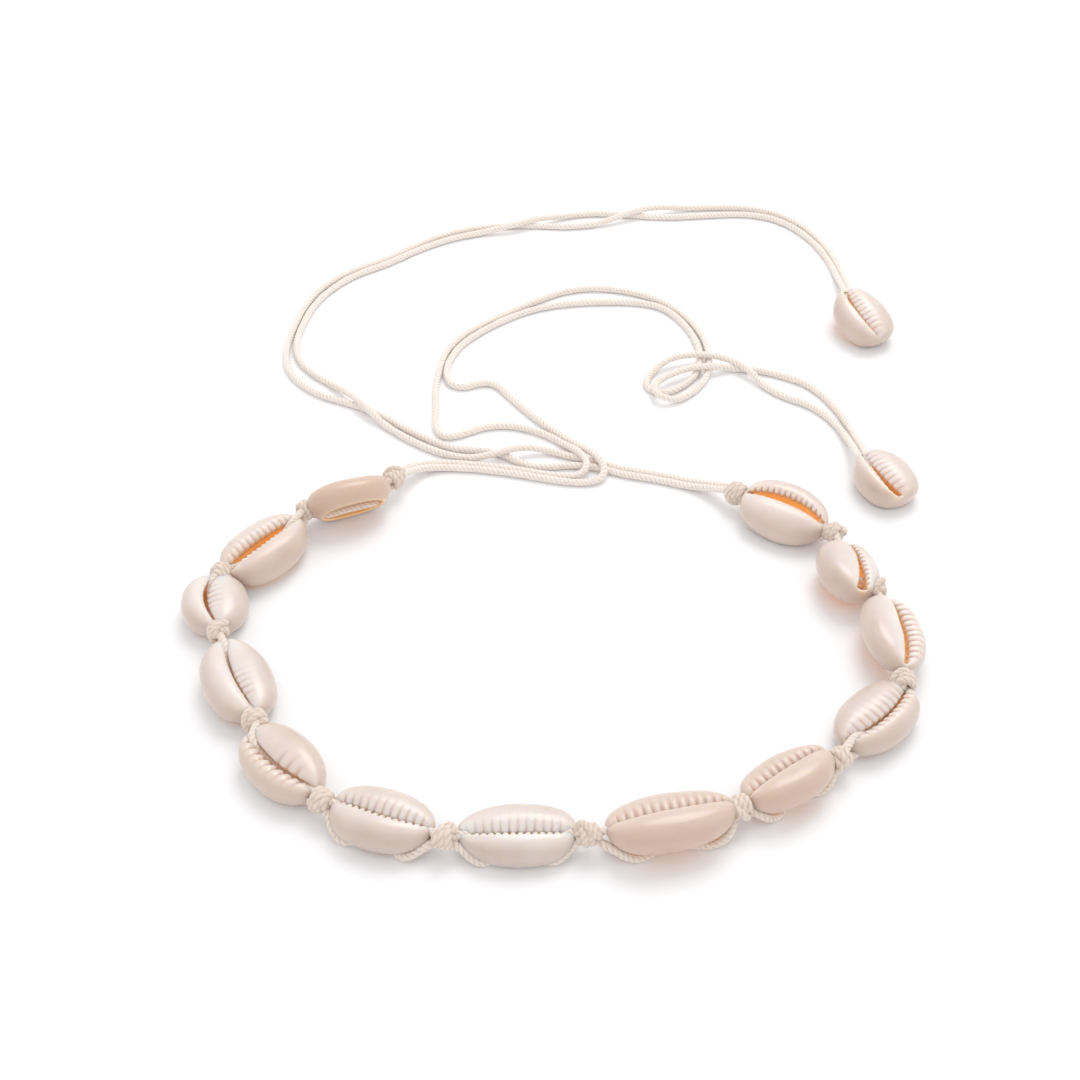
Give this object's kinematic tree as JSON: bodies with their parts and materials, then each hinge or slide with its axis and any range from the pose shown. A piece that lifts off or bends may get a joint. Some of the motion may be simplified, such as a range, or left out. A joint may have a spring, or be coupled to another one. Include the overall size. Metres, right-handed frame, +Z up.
{
  "type": "shell choker necklace",
  "caption": "Choker of cut cowrie shells knotted mouth up on doubled cotton cord, with long doubled tie cords that each end in a rounder shell.",
  "frame": {"origin": "on the table, under the middle of the bounding box of the shell row and its knots", "axes": "+X along the row's longest extent, +Y from the front of the row towards its open side and the tie cords, +Z up from the table"},
  "size_m": [0.1553, 0.2171, 0.0111],
  "materials": {
    "shell": "natural polished cowrie shell, creamy with an orange inside",
    "cord": "twisted unbleached cotton"
  },
  "bodies": {
    "root": {"shell_01": "shell", "shell_02": "shell", "shell_03": "shell", "shell_04": "shell", "shell_05": "shell", "shell_06": "shell", "shell_07": "shell", "shell_08": "shell", "shell_09": "shell", "shell_10": "shell", "shell_11": "shell", "shell_12": "shell", "shell_13": "shell", "end_shell_outer": "shell", "end_shell_inner": "shell", "knot_00": "cord", "knot_01": "cord", "knot_02": "cord", "knot_03": "cord", "knot_04": "cord", "knot_05": "cord", "knot_06": "cord", "knot_07": "cord", "knot_08": "cord", "knot_09": "cord", "knot_10": "cord", "knot_11": "cord", "knot_12": "cord", "knot_13": "cord", "thread_front": "cord", "thread_back": "cord", "tie_left_low": "cord", "tie_left_high": "cord", "tie_right_arch": "cord", "tie_right_flat": "cord"}
  },
  "joints": []
}
